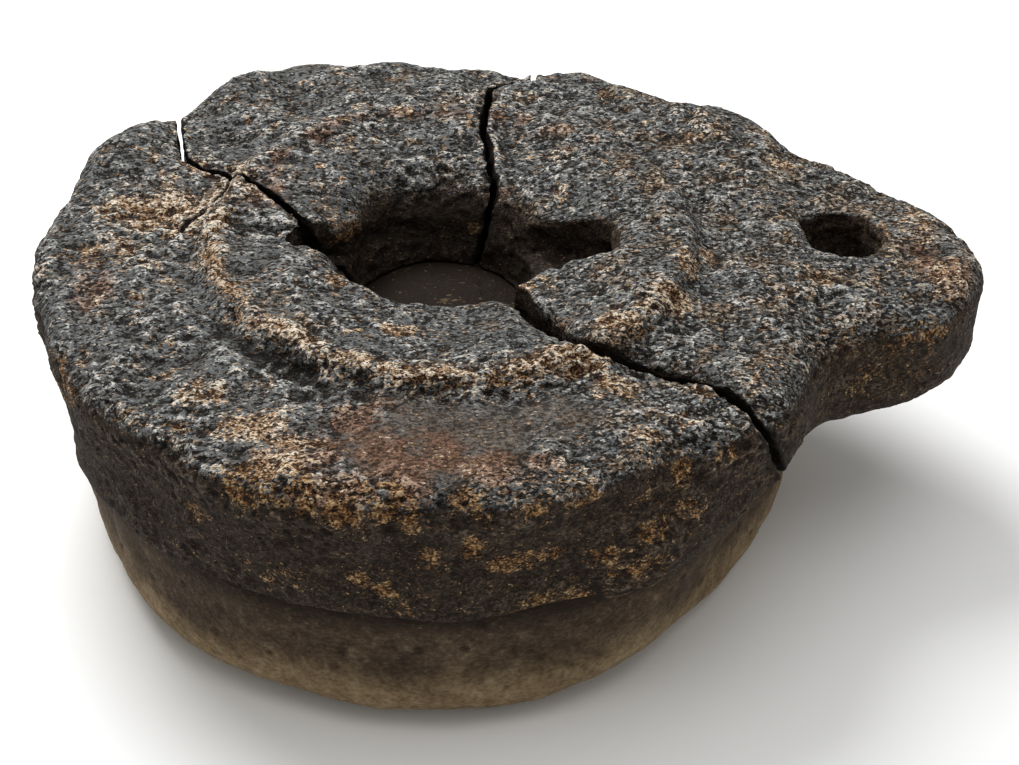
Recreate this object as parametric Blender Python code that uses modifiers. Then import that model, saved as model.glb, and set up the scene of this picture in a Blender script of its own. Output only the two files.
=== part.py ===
"""Rotary quern: a round bed stone and, resting on it, an upper stone that has broken into three pieces.

Metres, +Z up. The origin is where the axis of the mill meets the flat underside of the bed stone,
and the handle lobe of the upper stone points along +X.
"""

import math

import bmesh
import bpy
from mathutils import Vector, noise

# Bed stone
BED_RADIUS = 0.205
BED_FOOT_RADIUS = 0.170
BED_FOOT_ROUNDING = 0.033
BED_EDGE_HEIGHT = 0.087
BED_EDGE_ROUNDING = 0.008
BED_OFFSET = (-0.004, -0.002)

# Grinding faces: a low cone that the upper stone fits over
CONE_SLOPE = 0.23
CONE_TIP_RADIUS = 0.022
GRINDING_GAP = 0.0006

# Upper stone
DISC_RADIUS = 0.2135
DISC_THICKNESS = 0.080
DISC_SHOULDER = 0.014
DISC_LOWER_TAPER = 0.004
DISC_OFFSET = (-0.0050, -0.001)
SHELF_RISE = 0.003

# Raised collar around the hopper
COLLAR_RADIUS = 0.131
COLLAR_RISE = 0.0125
COLLAR_LIP_WIDTH = 0.009
COLLAR_FACE_WIDTH = 0.009
COLLAR_OFFSET = (0.006, 0.0)
HOPPER_DISH = 0.008

# Eye, which the grain falls through, with a worn mouth and a notch on each side
MOUTH_RADIUS = 0.0625
MOUTH_LOW_RADIUS = 0.0425
MOUTH_DEPTH = 0.022
MOUTH_OFFSET = (-0.002, 0.0065)
EYE_TOP_RADIUS = 0.0590
EYE_LOW_RADIUS = 0.0465
NOTCH_DEPTH = 0.026
NOTCH_SPREAD = 0.040
NOTCH_ROUNDING = 0.010
NOTCH_TURN = math.radians(-8.0)
RIGHT_NOTCH_REACH = 0.0965
RIGHT_NOTCH_WIDTH = 0.035
LEFT_NOTCH_REACH = 0.082
LEFT_NOTCH_WIDTH = 0.021

# Handle lobe and its socket
LOBE_REACH = 0.303
LOBE_END_RADIUS = 0.076
LOBE_SIDE_STEP = -0.012
LOBE_FAR_FLARE = (0.160, 0.147)
LOBE_NEAR_FLARE = (
    (0.196, -0.098), (0.184, -0.122), (0.171, -0.147), (0.148, -0.167), (0.122, -0.179), (0.085, -0.189),
)
LOBE_THICKNESS = 0.068
LOBE_DROOP = math.radians(2.5)
LOBE_DROP = 0.001
LOBE_ROUNDING = 0.016
SOCKET_DISTANCE = 0.2255
SOCKET_TOP_RADIUS = 0.0232
SOCKET_LOW_RADIUS = 0.0165
SOCKET_DEPTH = 0.046

# Breaks through the upper stone, as plan points from inside the eye to past the rim
LEFT_BREAK = (
    (-0.028, 0.004), (-0.055, 0.008), (-0.0715, 0.0134), (-0.082, 0.032), (-0.094, 0.049), (-0.108, 0.066),
    (-0.116, 0.081), (-0.129, 0.087), (-0.137, 0.100), (-0.139, 0.118), (-0.141, 0.150), (-0.150, 0.200),
)
BACK_BREAK = (
    (0.020, 0.022), (0.036, 0.044), (0.038, 0.058), (0.0372, 0.080), (0.036, 0.101), (0.040, 0.133),
    (0.045, 0.166), (0.053, 0.1705), (0.064, 0.1715), (0.071, 0.178), (0.078, 0.210),
)
FRONT_BREAK = (
    (0.020, -0.028), (0.0375, -0.0545), (0.040, -0.066), (0.046, -0.079), (0.053, -0.091), (0.062, -0.107),
    (0.068, -0.115), (0.080, -0.118), (0.094, -0.123), (0.109, -0.131), (0.1205, -0.139), (0.130, -0.149),
    (0.138, -0.160), (0.143, -0.170), (0.150, -0.186), (0.163, -0.220),
)
# How wide each break stands open: at the eye, half way and at the rim
LEFT_BREAK_GAP = (0.0064, 0.0024, 0.0034)
BACK_BREAK_GAP = (0.0034, 0.0034, 0.0036)
FRONT_BREAK_GAP = (0.0085, 0.0056, 0.0046)
# How far the foot of each break stands off its top, at the eye and at the rim
LEFT_BREAK_LEAN = ((0.018, 0.016), (0.0, 0.0))
BACK_BREAK_LEAN = ((-0.015, 0.004), (0.0, 0.0))
FRONT_BREAK_LEAN = ((0.004, 0.006), (0.044, 0.030))
BREAK_ROUGHNESS = 0.0022
BREAK_LEVELS = 6
BREAK_MARGIN = 0.02
PIECE_REACH = 0.48
PIECE_ARC_STEPS = 6

# Weathering of the outer surfaces: length and height of each size of swell
STONE_SWELLS = ((0.110, 0.0036), (0.048, 0.0026), (0.022, 0.0014))
BED_SWELLS = ((0.120, 0.0034), (0.050, 0.0018))
# Dents: plan angle in degrees, distance from the axis, height below the rim, reach and depth
UPPER_DENTS = (
    (69.0, 0.196, 0.002, 0.014, 0.010),
    (100.5, 0.205, 0.004, 0.014, 0.007),
    (78.0, 0.200, 0.010, 0.055, 0.008),
    (146.0, 0.212, 0.006, 0.050, -0.009),
    (122.0, 0.212, 0.006, 0.040, -0.006),
    (-36.0, 0.224, 0.092, 0.046, 0.015),
    (-61.0, 0.214, 0.072, 0.062, -0.013),
    (-170.0, 0.212, 0.080, 0.075, 0.007),
    (-52.0, 0.165, 0.000, 0.030, 0.005),
    (-58.0, 0.105, -0.012, 0.026, 0.005),
    (-137.0, 0.215, 0.030, 0.040, 0.004),
    (-10.0, 0.255, 0.080, 0.030, 0.006),
    (3.0, 0.300, 0.030, 0.060, 0.004),
    (33.0, 0.226, 0.010, 0.060, -0.008),
    (171.0, 0.095, -0.010, 0.030, 0.004),
)
BED_DENTS = (
    (-162.0, 0.205, 0.030, 0.120, 0.006),
    (-30.0, 0.205, 0.020, 0.095, 0.009),
    (-60.0, 0.185, 0.085, 0.070, 0.006),
    (-45.0, 0.200, 0.050, 0.060, 0.006),
    (-118.0, 0.175, 0.085, 0.035, 0.004),
    (100.0, 0.200, 0.060, 0.060, 0.006),
)

# Fineness of the meshes
TURN_STEPS = 72
ARC_STEPS = 6
VOXEL = 0.0045
BLEND_STEPS = 2
UPPER_FACES = 4200
BED_FACES = 2100
OVERCUT = 0.05
HEIGHT_CLEAR = 0.04

# Heights that follow from the sizes above
LOW_EDGE = BED_EDGE_HEIGHT + GRINDING_GAP
RIM_HEIGHT = LOW_EDGE + DISC_THICKNESS
COLLAR_HEIGHT = RIM_HEIGHT + COLLAR_RISE
EYE_EDGE_HEIGHT = COLLAR_HEIGHT - HOPPER_DISH
LOBE_TOP = RIM_HEIGHT - LOBE_DROP
TOP_CLEAR = COLLAR_HEIGHT + HEIGHT_CLEAR


def cone_height(radius):
    """Height of the bed stone's grinding cone at this distance from the axis."""
    return BED_EDGE_HEIGHT + CONE_SLOPE * (BED_RADIUS - radius)


def arc(centre, radius, start, end, steps=ARC_STEPS):
    """Points of a round stretch, with its angles in degrees."""
    angles = [math.radians(start + (end - start) * i / steps) for i in range(steps + 1)]
    return [(centre[0] + radius * math.cos(a), centre[1] + radius * math.sin(a)) for a in angles]


def clear_scene():
    for obj in list(bpy.data.objects):
        bpy.data.objects.remove(obj)


def new_collection(name):
    collection = bpy.data.collections.new(name)
    bpy.context.scene.collection.children.link(collection)
    return collection


def new_object(name, mesh, collection):
    obj = bpy.data.objects.new(name, mesh)
    collection.objects.link(obj)
    return obj


def as_cutter(obj):
    obj.hide_render = True
    obj.display_type = "WIRE"
    return obj


def baked(obj):
    """Makes the result of the object's modifiers its own mesh."""
    bpy.context.view_layer.update()
    graph = bpy.context.evaluated_depsgraph_get()
    mesh = bpy.data.meshes.new_from_object(obj.evaluated_get(graph))
    obj.modifiers.clear()
    obj.data = mesh
    return obj


def turned(name, profile, collection, centre=(0.0, 0.0)):
    """A solid of revolution about a vertical line, from (radius, height) points down its outer side."""
    mesh = bpy.data.meshes.new(name)
    edges = [(i, i + 1) for i in range(len(profile) - 1)]
    mesh.from_pydata([(radius, 0.0, height) for radius, height in profile], edges, [])
    obj = new_object(name, mesh, collection)
    screw = obj.modifiers.new("Turn", "SCREW")
    screw.axis = "Z"
    screw.steps = screw.render_steps = TURN_STEPS
    screw.use_merge_vertices = True
    screw.merge_threshold = 0.00001
    obj.location = (centre[0], centre[1], 0.0)
    return obj


def prism(name, outline, low, high, collection):
    """An upright solid with this plan outline, given anticlockwise."""
    bm = bmesh.new()
    base = bm.faces.new([bm.verts.new((x, y, low)) for x, y in outline])
    risen = bmesh.ops.extrude_face_region(bm, geom=[base])["geom"]
    tops = [item for item in risen if isinstance(item, bmesh.types.BMVert)]
    bmesh.ops.translate(bm, vec=(0.0, 0.0, high - low), verts=tops)
    bmesh.ops.recalc_face_normals(bm, faces=bm.faces)
    mesh = bpy.data.meshes.new(name)
    bm.to_mesh(mesh)
    bm.free()
    return new_object(name, mesh, collection)


def boolean(target, tool, operation):
    modifier = target.modifiers.new(tool.name, "BOOLEAN")
    modifier.operation = operation
    modifier.object = tool
    return modifier


def swell(point, swells, seed):
    """How far the weathered surface stands out at a point."""
    place = Vector(point)
    return sum(
        height * noise.noise(place / length + Vector((seed, 2.0 * seed, 3.0 * i + seed)))
        for i, (length, height) in enumerate(swells)
    )


def dent_depth(point, dents, top):
    """How far the dents sink the surface at a point."""
    depth = 0.0
    for angle, distance, below, reach, sink in dents:
        a = math.radians(angle)
        middle = Vector((distance * math.cos(a), distance * math.sin(a), top - below))
        share = (Vector(point) - middle).length / reach
        if share < 1.0:
            depth += sink * (1.0 - share * share) ** 2
    return depth


def weathered(obj, swells, dents, top, seed, faces):
    """Evens out the mesh, wears it with swells and dents, and thins it to about this many triangles."""
    remesh = obj.modifiers.new("Even", "REMESH")
    remesh.mode = "VOXEL"
    remesh.voxel_size = VOXEL
    smooth = obj.modifiers.new("Blend", "SMOOTH")
    smooth.iterations = BLEND_STEPS
    baked(obj)
    worn = []
    for vertex in obj.data.vertices:
        out = swell(vertex.co, swells, seed) - dent_depth(vertex.co, dents, top)
        worn.append(vertex.co + vertex.normal * out)
    for vertex, place in zip(obj.data.vertices, worn):
        vertex.co = place
    obj.data.update()
    obj.data.calc_loop_triangles()
    thin = obj.modifiers.new("Thin", "DECIMATE")
    thin.ratio = min(1.0, faces / len(obj.data.loop_triangles))
    thin.use_collapse_triangulate = True
    return baked(obj)


def moved_into_place(obj):
    """Gives the object's place to its mesh, so that the swells follow the stone's own frame."""
    bpy.context.view_layer.update()
    obj.data.transform(obj.matrix_world)
    obj.matrix_world.identity()
    return obj


def bed_blank(collection):
    side = BED_FOOT_RADIUS + BED_FOOT_ROUNDING
    profile = [(0.0, cone_height(0.0)), (BED_RADIUS - BED_EDGE_ROUNDING, cone_height(0.0))]
    profile += [(BED_RADIUS, BED_EDGE_HEIGHT - BED_EDGE_ROUNDING)]
    profile += arc((side - BED_FOOT_ROUNDING, BED_FOOT_ROUNDING), BED_FOOT_ROUNDING, 0.0, -90.0)
    profile += [(BED_FOOT_RADIUS, -OVERCUT), (0.0, -OVERCUT)]
    return moved_into_place(baked(turned("bed_stone", profile, collection, BED_OFFSET)))


def bed_face_cutter(cutters):
    """All that lies above the bed stone's grinding cone."""
    reach = BED_RADIUS + OVERCUT
    profile = [(0.0, TOP_CLEAR), (reach, TOP_CLEAR), (reach, cone_height(reach))]
    profile += [(CONE_TIP_RADIUS, cone_height(CONE_TIP_RADIUS)), (0.0, cone_height(CONE_TIP_RADIUS))]
    return as_cutter(baked(turned("bed_face_cutter", profile, cutters)))


def upper_face_cutter(cutters):
    """The eye, and all that lies below the upper stone's grinding face."""
    reach = LOBE_REACH + OVERCUT
    low = cone_height(EYE_LOW_RADIUS) + GRINDING_GAP
    slope = (EYE_TOP_RADIUS - EYE_LOW_RADIUS) / (EYE_EDGE_HEIGHT - low)
    above = EYE_TOP_RADIUS + slope * (TOP_CLEAR - EYE_EDGE_HEIGHT)
    profile = [(0.0, TOP_CLEAR), (above, TOP_CLEAR), (EYE_LOW_RADIUS, low)]
    profile += [(reach, cone_height(reach) + GRINDING_GAP), (reach, -OVERCUT), (0.0, -OVERCUT)]
    return as_cutter(baked(turned("upper_face_cutter", profile, cutters)))


def bed_stone(parts, cutters):
    bed = bed_blank(parts)
    weathered(bed, BED_SWELLS, BED_DENTS, BED_EDGE_HEIGHT, 7.0, BED_FACES)
    reach = BED_RADIUS + OVERCUT
    boolean(bed, bed_face_cutter(cutters), "DIFFERENCE")
    ground = [(reach, -reach), (reach, reach), (-reach, reach), (-reach, -reach)]
    boolean(bed, as_cutter(prism("ground_cutter", ground, -2.0 * OVERCUT, 0.0, cutters)), "DIFFERENCE")
    return bed


def disc_blank(collection):
    shelf = RIM_HEIGHT + SHELF_RISE
    shoulder = (DISC_RADIUS - DISC_SHOULDER, RIM_HEIGHT - DISC_SHOULDER)
    profile = [(0.0, shelf), (COLLAR_RADIUS, shelf)]
    profile += arc(shoulder, DISC_SHOULDER, 90.0, 0.0)
    low = LOW_EDGE - OVERCUT / 2.0
    profile += [(DISC_RADIUS - DISC_LOWER_TAPER, LOW_EDGE), (DISC_RADIUS - DISC_LOWER_TAPER, low), (0.0, low)]
    return baked(turned("upper_stone_blank", profile, collection, DISC_OFFSET))


def collar_blank(collection):
    lip = COLLAR_RADIUS - COLLAR_LIP_WIDTH
    foot = COLLAR_RADIUS + COLLAR_FACE_WIDTH
    profile = [(0.0, EYE_EDGE_HEIGHT), (EYE_TOP_RADIUS, EYE_EDGE_HEIGHT), (lip, COLLAR_HEIGHT)]
    profile += [(COLLAR_RADIUS, COLLAR_HEIGHT), (foot, RIM_HEIGHT - SHELF_RISE), (foot, LOW_EDGE), (0.0, LOW_EDGE)]
    return baked(turned("collar_blank", profile, collection, COLLAR_OFFSET))


def lobe_blank(collection):
    """The lobe that the handle stands in: round at its end, flared into the disc on its far side."""
    end = (LOBE_REACH - LOBE_END_RADIUS, LOBE_SIDE_STEP)
    outline = [(0.0, LOBE_NEAR_FLARE[-1][1])] + list(LOBE_NEAR_FLARE[::-1])
    outline += arc(end, LOBE_END_RADIUS, -90.0, 42.0, 2 * ARC_STEPS)
    outline += [LOBE_FAR_FLARE, (0.0, LOBE_FAR_FLARE[1])]
    lobe = prism("lobe_blank", outline, -LOBE_THICKNESS, 0.0, collection)
    bevel = lobe.modifiers.new("Rounding", "BEVEL")
    bevel.width = LOBE_ROUNDING
    bevel.segments = 3
    bevel.limit_method = "ANGLE"
    lobe.location = (0.0, 0.0, LOBE_TOP + DISC_RADIUS * math.sin(LOBE_DROOP) / 2.0)
    lobe.rotation_euler = (0.0, LOBE_DROOP, 0.0)
    return baked(lobe)


def upper_stone_blank(cutters):
    """Disc, collar and lobe as one weathered stone, before its face, holes and breaks are cut."""
    stone = disc_blank(cutters)
    for addition in (collar_blank(cutters), lobe_blank(cutters)):
        boolean(stone, as_cutter(addition), "UNION")
    moved_into_place(baked(stone))
    weathered(stone, STONE_SWELLS, UPPER_DENTS, RIM_HEIGHT, 3.0, UPPER_FACES)
    return as_cutter(stone)


def mouth_cutter(cutters):
    """The worn funnel at the top of the eye, wider toward the back."""
    low = EYE_EDGE_HEIGHT - MOUTH_DEPTH
    above = MOUTH_RADIUS + (MOUTH_RADIUS - MOUTH_LOW_RADIUS) * (TOP_CLEAR - EYE_EDGE_HEIGHT) / MOUTH_DEPTH
    profile = [(0.0, TOP_CLEAR), (above, TOP_CLEAR), (MOUTH_LOW_RADIUS, low), (0.0, low)]
    return as_cutter(baked(turned("mouth_cutter", profile, cutters, MOUTH_OFFSET)))


def notch_cutter(name, reach, width, rounding, toward, cutters):
    """One notch beside the eye, narrowing away from it to a rounded end."""
    half = width / 2.0
    tip = reach - rounding
    outline = [(-rounding, -NOTCH_SPREAD)]
    outline += arc((tip, rounding - half), rounding, -90.0, 0.0, 2)
    outline += arc((tip, half - rounding), rounding, 0.0, 90.0, 2)
    outline += [(-rounding, NOTCH_SPREAD)]
    cutter = prism(name, outline, EYE_EDGE_HEIGHT - NOTCH_DEPTH, TOP_CLEAR, cutters)
    cutter.rotation_euler = (0.0, 0.0, toward + NOTCH_TURN)
    return as_cutter(cutter)


def right_notch_cutter(cutters):
    return notch_cutter("right_notch_cutter", RIGHT_NOTCH_REACH, RIGHT_NOTCH_WIDTH, NOTCH_ROUNDING, 0.0, cutters)


def left_notch_cutter(cutters):
    return notch_cutter("left_notch_cutter", LEFT_NOTCH_REACH, LEFT_NOTCH_WIDTH, NOTCH_ROUNDING, math.pi, cutters)


def socket_cutter(cutters):
    floor = LOBE_TOP - SOCKET_DEPTH
    slope = (SOCKET_TOP_RADIUS - SOCKET_LOW_RADIUS) / SOCKET_DEPTH
    above = SOCKET_TOP_RADIUS + slope * (TOP_CLEAR - LOBE_TOP)
    profile = [(0.0, TOP_CLEAR), (above, TOP_CLEAR), (SOCKET_LOW_RADIUS, floor), (0.0, floor)]
    return as_cutter(baked(turned("socket_cutter", profile, cutters, (SOCKET_DISTANCE, 0.0))))


def gap_at(gap, share):
    """How wide a break stands open at a share of its length from the eye."""
    start, middle, end = gap
    if share < 0.5:
        return start + (middle - start) * 2.0 * share
    return middle + (end - middle) * (2.0 * share - 1.0)


def break_line(points, lean, gap, side, level):
    """One face of a break at a level from 0, its foot, to 1, its top, moved half the gap to its left or right."""
    last = len(points) - 1
    line = []
    for i, (x, y) in enumerate(points):
        before, after = points[max(0, i - 1)], points[min(last, i + 1)]
        along = Vector((after[0] - before[0], after[1] - before[1])).normalized()
        across = Vector((-along.y, along.x))
        foot = Vector(lean[0]).lerp(Vector(lean[1]), i / last) * (1.0 - level)
        rough = BREAK_ROUGHNESS * noise.noise(Vector((x * 60.0, y * 60.0, level * 4.0)))
        moved = Vector((x, y)) + foot + across * (rough + side * gap_at(gap, i / last) / 2.0)
        line.append((moved.x, moved.y))
    return line


def piece_cutter(name, first, second, cutters):
    """The wedge of the upper stone between two breaks, each given as points, lean and gap."""
    low, high = -BREAK_MARGIN, TOP_CLEAR
    levels = []
    for k in range(BREAK_LEVELS):
        level = k / (BREAK_LEVELS - 1)
        start = break_line(*first, 1.0, level)
        end = break_line(*second, -1.0, level)
        a = math.atan2(start[-1][1], start[-1][0])
        b = math.atan2(end[-1][1], end[-1][0])
        b += math.tau if b < a else 0.0
        turns = [a + (b - a) * i / PIECE_ARC_STEPS for i in range(PIECE_ARC_STEPS + 1)]
        rim = [(PIECE_REACH * math.cos(t), PIECE_REACH * math.sin(t)) for t in turns]
        height = LOW_EDGE + (COLLAR_HEIGHT - LOW_EDGE) * level
        height = low if k == 0 else high if k == BREAK_LEVELS - 1 else height
        levels.append([(x, y, height) for x, y in start + rim + end[::-1]])
    bm = bmesh.new()
    rings = [[bm.verts.new(point) for point in level] for level in levels]
    for lower, upper in zip(rings, rings[1:]):
        for i in range(len(lower)):
            bm.faces.new((lower[i - 1], lower[i], upper[i], upper[i - 1]))
    bm.faces.new(rings[0][::-1])
    bm.faces.new(rings[-1])
    bmesh.ops.recalc_face_normals(bm, faces=bm.faces)
    mesh = bpy.data.meshes.new(name)
    bm.to_mesh(mesh)
    bm.free()
    return as_cutter(new_object(name, mesh, cutters))


def upper_stone_pieces(parts, cutters):
    """The three broken pieces, each cut from the same stone between two of the breaks."""
    stone = upper_stone_blank(cutters)
    tools = [upper_face_cutter(cutters), mouth_cutter(cutters), right_notch_cutter(cutters)]
    tools += [left_notch_cutter(cutters), socket_cutter(cutters)]
    for tool in tools:
        boolean(stone, tool, "DIFFERENCE")
    baked(stone)
    left = (LEFT_BREAK, LEFT_BREAK_LEAN, LEFT_BREAK_GAP)
    back = (BACK_BREAK, BACK_BREAK_LEAN, BACK_BREAK_GAP)
    front = (FRONT_BREAK, FRONT_BREAK_LEAN, FRONT_BREAK_GAP)
    spans = {
        "upper_stone_back_piece": (back, left),
        "upper_stone_front_piece": (left, front),
        "upper_stone_handle_piece": (front, back),
    }
    pieces = []
    for name, (first, second) in spans.items():
        piece = new_object(name, stone.data, parts)
        boolean(piece, piece_cutter(name.replace("upper_stone", "wedge"), first, second, cutters), "INTERSECT")
        pieces.append(piece)
    return pieces


def stone_material(name, colour, roughness):
    material = bpy.data.materials.new(name)
    material.use_nodes = True
    shader = material.node_tree.nodes["Principled BSDF"]
    shader.inputs["Base Color"].default_value = (*colour, 1.0)
    shader.inputs["Roughness"].default_value = roughness
    shader.inputs["Metallic"].default_value = 0.0
    return material


def dress(obj, material):
    obj.data.materials.clear()
    obj.data.materials.append(material)
    obj.data.shade_smooth()
    obj.data.set_sharp_from_angle(angle=math.radians(35.0))


def main():
    clear_scene()
    parts = new_collection("rotary_quern")
    cutters = new_collection("cutters")
    dress(bed_stone(parts, cutters), stone_material("bed_basalt", (0.055, 0.042, 0.030), 0.85))
    upper = stone_material("upper_basalt", (0.045, 0.043, 0.042), 0.80)
    for piece in upper_stone_pieces(parts, cutters):
        dress(piece, upper)


main()
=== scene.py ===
"""Looks of the rotary quern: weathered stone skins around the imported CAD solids, light, floor and camera."""
import logging
from dataclasses import dataclass, field
from enum import Enum
from itertools import product
from typing import Iterable, Sequence

import bmesh
import bpy
import numpy as np
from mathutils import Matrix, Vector
from mathutils.bvhtree import BVHTree


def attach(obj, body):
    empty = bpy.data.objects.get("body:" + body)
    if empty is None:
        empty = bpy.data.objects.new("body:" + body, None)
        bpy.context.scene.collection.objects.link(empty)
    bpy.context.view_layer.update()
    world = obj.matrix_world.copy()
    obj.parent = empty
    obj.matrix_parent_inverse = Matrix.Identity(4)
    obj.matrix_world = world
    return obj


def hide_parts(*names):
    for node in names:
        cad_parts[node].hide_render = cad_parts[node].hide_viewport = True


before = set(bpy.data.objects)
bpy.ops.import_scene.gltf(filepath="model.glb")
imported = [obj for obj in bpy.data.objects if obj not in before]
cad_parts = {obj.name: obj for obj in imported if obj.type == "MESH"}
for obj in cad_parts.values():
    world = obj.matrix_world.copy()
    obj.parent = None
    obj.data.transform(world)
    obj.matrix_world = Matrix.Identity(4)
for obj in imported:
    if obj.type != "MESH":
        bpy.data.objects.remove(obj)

log = logging.getLogger("quern")
logging.basicConfig(level=logging.INFO, format="%(name)s: %(message)s")

MM = 0.001

# Places on the stones that the wear and the painted shade follow, in the frame of the CAD model
COLLAR_CENTRE = (0.006, 0.0)
COLLAR_CREST = 0.127
COLLAR_FOOT = 0.142
FOOT_SHADE_TURN = -2.30
RIM_CENTRE = (-0.005, -0.001)
RIM_RADIUS = 0.2135
RIM_HEIGHT = 0.1676
SEAM_HEIGHT = 0.0876
SOCKET_CENTRE = (0.2255, 0.0)
STONE_GRAIN = (0.85, 1.30, 1.15)

# How deep the wear goes, in metres
COLLAR_SWAY = 0.0030
FISSURE_DEPTH = 3.4 * MM
CHIP_DEPTH = 2.2 * MM
EDGE_DROP = 6.0 * MM
SHED_DROP = 3.6 * MM
HOLE_SWAY = 2.6 * MM

# How the skins are made
NEIGHBOUR_REACH = 0.02
LOBE_PASSES = 40
TRIANGLE_BUDGET = 190_000

# Scales of the noises in the materials
GRAIN_SCALE = 820.0
PIT_SCALE = 430.0
CRUMBLE_SCALE = 300.0
CLOUD_SCALE = 36.0
BED_GRAIN_SCALE = 420.0
BED_CLOUD_SCALE = 24.0


class Node(str, Enum):
    """The CAD nodes that the skins stand for."""

    BED = "bed_stone"
    FRONT = "upper_stone_front_piece"
    BACK = "upper_stone_back_piece"
    HANDLE = "upper_stone_handle_piece"


UPPER_NODES = (Node.FRONT, Node.BACK, Node.HANDLE)


class Mask(str, Enum):
    """Vertex attributes that carry the wear, and the painted light and shade, from the mesh to the materials."""

    PEAK = "relief_highlight_and_shade"
    WORN = "worn"
    OCHRE = "ochre"
    RUST = "rust_and_painted_light"
    WALL = "wall_dirt_and_shade"
    SOIL = "painted_shade"
    SMOOTH = "smooth"


def smoothstep(value: np.ndarray, low: float, high: float) -> np.ndarray:
    """Rises smoothly from 0 at low to 1 at high.

    Args:
        value: the numbers to map.
        low: where the rise starts.
        high: where it ends; below low for a fall.

    Returns:
        The mapped numbers, between 0 and 1.
    """
    share = np.clip((value - low) / (high - low), 0.0, 1.0)
    return share * share * (3.0 - 2.0 * share)


class StoneNoise:
    """Seeded solid noise over arrays of points."""

    CELL_X, CELL_Y, CELL_Z = np.uint32(374761393), np.uint32(668265263), np.uint32(2147483647)
    SECOND, THIRD, FOURTH, FIFTH = (np.uint32(n) for n in (747796405, 277803737, 2891336453, 1181783497))
    PIT_SALT = 501

    def __init__(self, seed: int) -> None:
        self.seed = seed

    def _hash(self, base: np.ndarray, step: Sequence[int], salt: int) -> np.ndarray:
        """A whole number for the grid cell that lies this step from each base cell."""
        ix, iy, iz = ((base[:, axis] + step[axis]).astype(np.uint32) for axis in range(3))
        mixed = (
            ix * self.CELL_X
            + iy * self.CELL_Y
            + iz * self.CELL_Z
            + np.uint32((self.seed * 9176 + salt * 77977) % 4294967296)
        )
        mixed = (mixed ^ (mixed >> np.uint32(13))) * np.uint32(1274126177)
        mixed = (mixed ^ (mixed >> np.uint32(16))) * np.uint32(2246822519)
        return mixed ^ (mixed >> np.uint32(15))

    @staticmethod
    def _unit(hashed: np.ndarray) -> np.ndarray:
        return hashed.astype(np.float32) / np.float32(4294967295.0)

    def gradient(self, points: np.ndarray, length: float, salt: int = 0) -> np.ndarray:
        """Gradient noise with this feature length in metres, about -1 to 1."""
        scaled = points / length
        base = np.floor(scaled).astype(np.int64)
        part = (scaled - base).astype(np.float32)
        fade = part ** 3 * (part * (part * 6.0 - 15.0) + 10.0)
        total = np.zeros(len(points), np.float32)
        for corner in product((0, 1), repeat=3):
            hashed = self._hash(base, corner, salt)
            gx = self._unit(hashed) * 2.0 - 1.0
            gy = self._unit(hashed * self.SECOND + np.uint32(1)) * 2.0 - 1.0
            gz = self._unit(hashed * self.THIRD + np.uint32(7)) * 2.0 - 1.0
            weight = 1.0
            for axis, step in enumerate(corner):
                weight = weight * (fade[:, axis] if step else 1.0 - fade[:, axis])
            dx, dy, dz = (part[:, axis] - step for axis, step in enumerate(corner))
            total += weight * (gx * dx + gy * dy + gz * dz)
        return total * 1.6

    def layered(self, points: np.ndarray, length: float, octaves: int, salt: int = 0) -> np.ndarray:
        """Several octaves of gradient noise, each half as long and about half as strong."""
        total, share = np.zeros(len(points), np.float32), 1.0
        for octave in range(octaves):
            total += share * self.gradient(points, length / 2.0 ** octave, salt + 11 * octave)
            share *= 0.52
        return total

    def pits(self, points: np.ndarray, spacing: float, reach: float, share: float, salt: int = 0) -> np.ndarray:
        """Round hollows scattered over the stone.

        Args:
            points: where to read them.
            spacing: size of the cells that hold one hollow each, in metres.
            reach: largest radius of a hollow, as a share of the spacing.
            share: how many of the cells hold one.
            salt: changes the scatter.

        Returns:
            0 outside the hollows, up to 1 at their middles.
        """
        scaled = points / spacing
        base = np.floor(scaled).astype(np.int64)
        part = (scaled - base).astype(np.float32)
        deepest = np.zeros(len(points), np.float32)
        for cell in product((-1, 0, 1), repeat=3):
            hashed = self._hash(base, cell, salt + self.PIT_SALT)
            cx = self._unit(hashed) + cell[0] - part[:, 0]
            cy = self._unit(hashed * self.SECOND + np.uint32(3)) + cell[1] - part[:, 1]
            cz = self._unit(hashed * self.THIRD + np.uint32(5)) + cell[2] - part[:, 2]
            draw = self._unit(hashed * self.FOURTH + np.uint32(9))
            radius = reach * (0.45 + 0.55 * self._unit(hashed * self.FIFTH))
            near = np.sqrt(cx * cx + cy * cy + cz * cz) / radius
            bowl = np.where(draw < share, np.clip(1.0 - near * near, 0.0, 1.0), 0.0)
            deepest = np.maximum(deepest, bowl.astype(np.float32))
        return deepest


@dataclass(frozen=True)
class Stroke:
    """A line across the upper stone's top, which a crack follows."""

    points: tuple[tuple[float, float], ...]
    reach: float

    def share(self, plan: np.ndarray) -> np.ndarray:
        """1 on the line, falling to 0 at its reach.

        Args:
            plan: the x and y of each vertex.

        Returns:
            The share of each vertex.
        """
        nearest = np.full(len(plan), 1e9)
        for start, end in zip(self.points, self.points[1:]):
            a, b = np.array(start), np.array(end)
            along = b - a
            t = np.clip(((plan - a) @ along) / max(float(along @ along), 1e-12), 0.0, 1.0)
            nearest = np.minimum(nearest, np.linalg.norm(plan - (a + t[:, None] * along), axis=1))
        return np.clip(1.0 - nearest / self.reach, 0.0, 1.0)


@dataclass(frozen=True)
class Patch:
    """A rounded patch of wear or growth, as a centre in space and three half sizes."""

    centre: tuple[float, float, float]
    half: tuple[float, float, float]
    strength: float = 1.0

    def share(self, points: np.ndarray) -> np.ndarray:
        """How strongly the patch covers each point, 1 at its middle and 0 at its edge."""
        offset = (points - np.array(self.centre)) / np.array(self.half)
        return self.strength * smoothstep(np.linalg.norm(offset, axis=1), 1.0, 0.35)


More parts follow.
